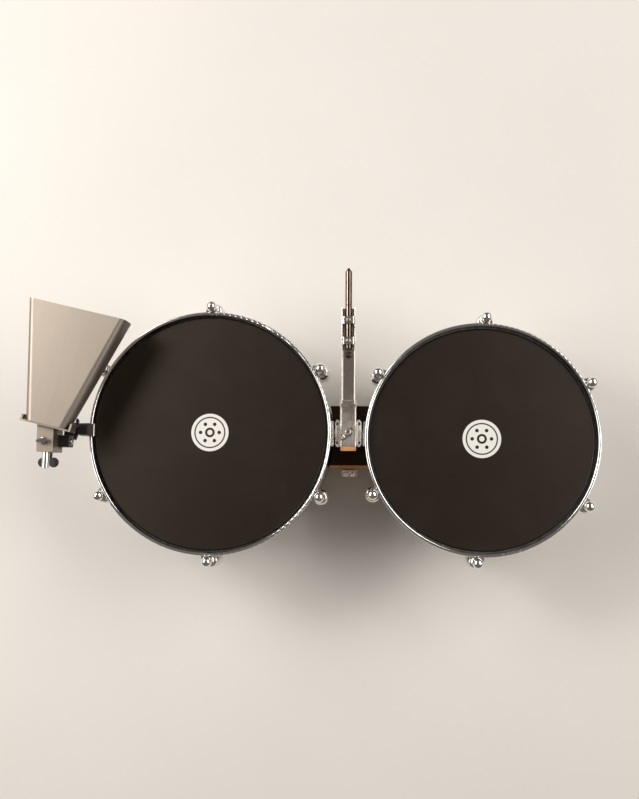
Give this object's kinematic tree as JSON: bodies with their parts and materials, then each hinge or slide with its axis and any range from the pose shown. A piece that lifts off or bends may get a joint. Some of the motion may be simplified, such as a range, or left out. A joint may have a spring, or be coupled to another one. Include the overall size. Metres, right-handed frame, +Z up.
{
  "type": "timbales with cowbell",
  "caption": "Pair of chrome shell timbales with black heads on a centre clamp, with a folding accessory arm and a rim-mounted brushed steel cowbell.",
  "frame": {"origin": "centre of the stand-post socket's mouth, in the plane that the drums stand on", "axes": "+X from the larger drum to the smaller one, +Y away from the player along the accessory arm, +Z up"},
  "size_m": [0.8547, 0.4616, 0.235],
  "materials": {
    "chrome_shell": "polished chrome plate on rolled steel",
    "chrome_rim": "polished chrome plate with fine wear on the roll",
    "chrome_cast": "chrome plate over a cast surface, slightly soft",
    "chrome_sheet": "chrome plate on folded sheet, light rolling lines",
    "chrome_rod": "polished drawn rod",
    "chrome_ball": "mirror polished",
    "plated_screw": "zinc and nickel plate, satin",
    "dark_rivet": "dark oxide",
    "warm_plate": "nickel plate with a warm tone",
    "hoop_aluminium": "dull aluminium",
    "black_film": "satin black polyester film with a plain white roundel",
    "gasket_rubber": "matt black rubber",
    "black_lacquer": "black lacquer on wood",
    "bare_wood": "bare waxed wood",
    "black_paint": "black powder coat",
    "brushed_bell": "lengthways brushed steel",
    "brushed_bracket": "brushed steel strip"
  },
  "bodies": {
    "centre_stand": {"centre_block": "black_lacquer", "block_front_board": "bare_wood", "front_pad": "bare_wood", "front_bracket": "chrome_sheet", "front_bracket_screws": "chrome_ball", "clamp_body": "chrome_cast", "block_studs": "plated_screw", "hinge_pins": "plated_screw", "clamp_cheeks": "chrome_sheet", "cheek_rivets": "dark_rivet", "base_channel": "chrome_sheet", "channel_end_plug": "bare_wood", "fold_pin": "plated_screw"},
    "left_drum": {"left_shell": "chrome_shell", "left_head": "black_film", "left_flesh_hoop": "hoop_aluminium", "left_rim": "chrome_rim", "left_lugs": "chrome_cast", "left_lug_gaskets": "gasket_rubber", "left_lug_screws": "plated_screw", "left_tension_rods": "chrome_rod", "left_rod_washers": "chrome_cast", "left_ball_nuts": "chrome_ball", "left_bracket_screws": "plated_screw", "left_shell_bracket": "chrome_cast", "rim_clamp_jaw": "chrome_sheet", "rim_clamp_arm": "black_paint", "rim_clamp_arm_screws": "plated_screw", "tilt_pivot_bolt": "plated_screw"},
    "right_drum": {"right_shell": "chrome_shell", "right_head": "black_film", "right_flesh_hoop": "hoop_aluminium", "right_rim": "chrome_rim", "right_lugs": "chrome_cast", "right_lug_gaskets": "gasket_rubber", "right_lug_screws": "plated_screw", "right_tension_rods": "chrome_rod", "right_rod_washers": "chrome_cast", "right_ball_nuts": "chrome_ball", "right_bracket_screws": "plated_screw", "right_shell_bracket": "chrome_cast"},
    "arm": {"arm_channel": "chrome_sheet", "rod_saddles": "chrome_cast", "saddle_screws": "plated_screw", "arm_stop_screw": "dark_rivet", "arm_stop_nut": "plated_screw"},
    "arm_rod": {"accessory_rod": "chrome_rod"},
    "arm_wing": {"arm_wing_screw": "warm_plate"},
    "cowbell": {"bell_shell": "brushed_bell", "bell_flange": "brushed_bracket", "flange_rivets": "plated_screw", "bell_clamp_box": "brushed_bracket", "tilter_link": "black_paint", "tilter_link_screw": "chrome_ball"},
    "box_key": {"box_key_screw": "chrome_ball"},
    "bell_support_rod": {"bell_rod": "chrome_rod"},
    "bell_rod_wing": {"bell_rod_wing_screw": "black_paint"},
    "tilt_wing": {"tilt_wing_nut": "black_paint"},
    "rim_pinch": {"rim_clamp_screw": "chrome_cast"}
  },
  "joints": [
    {"name": "left_drum_swing", "type": "hinge", "parent": "centre_stand", "child": "left_drum", "pos_m": [-0.021, 0, 0.12], "axis": [0, 0, 1], "range_deg": [-5, 5]},
    {"name": "right_drum_swing", "type": "hinge", "parent": "centre_stand", "child": "right_drum", "pos_m": [0.021, 0, 0.12], "axis": [0, 0, 1], "range_deg": [-2.3, 6.2]},
    {"name": "arm_fold", "type": "hinge", "parent": "centre_stand", "child": "arm", "pos_m": [0, 0.044, 0.157], "axis": [1, 0, 0], "range_deg": [0, 90]},
    {"name": "arm_rod_slide", "type": "slide", "parent": "arm", "child": "arm_rod", "axis": [0, 1, 0], "range_m": [0, 0.03]},
    {"name": "arm_wing_turn", "type": "hinge", "parent": "centre_stand", "child": "arm_wing", "pos_m": [0, 0.001, 0.16], "axis": [0, 0, 1], "continuous": true},
    {"name": "bell_tilt", "type": "hinge", "parent": "left_drum", "child": "cowbell", "pos_m": [-0.4072, 0.0024, 0.1895], "axis": [1, 0, 0], "range_deg": [0, 40]},
    {"name": "tilt_wing_turn", "type": "hinge", "parent": "left_drum", "child": "tilt_wing", "pos_m": [-0.4072, 0.0024, 0.1895], "axis": [1, 0, 0], "continuous": true},
    {"name": "rim_pinch_turn", "type": "hinge", "parent": "left_drum", "child": "rim_pinch", "pos_m": [-0.4115, 0.0024, 0.1615], "axis": [1, 0, 0], "continuous": true},
    {"name": "bell_rod_slide", "type": "slide", "parent": "cowbell", "child": "bell_support_rod", "axis": [0, -1, 0], "range_m": [0, 0.02]},
    {"name": "bell_rod_wing_turn", "type": "hinge", "parent": "cowbell", "child": "bell_rod_wing", "pos_m": [-0.4493, -0.04, 0.193], "axis": [0, 1, 0], "continuous": true},
    {"name": "box_key_turn", "type": "hinge", "parent": "cowbell", "child": "box_key", "pos_m": [-0.446, -0.0168, 0.23], "axis": [0, 0, 1], "continuous": true}
  ]
}
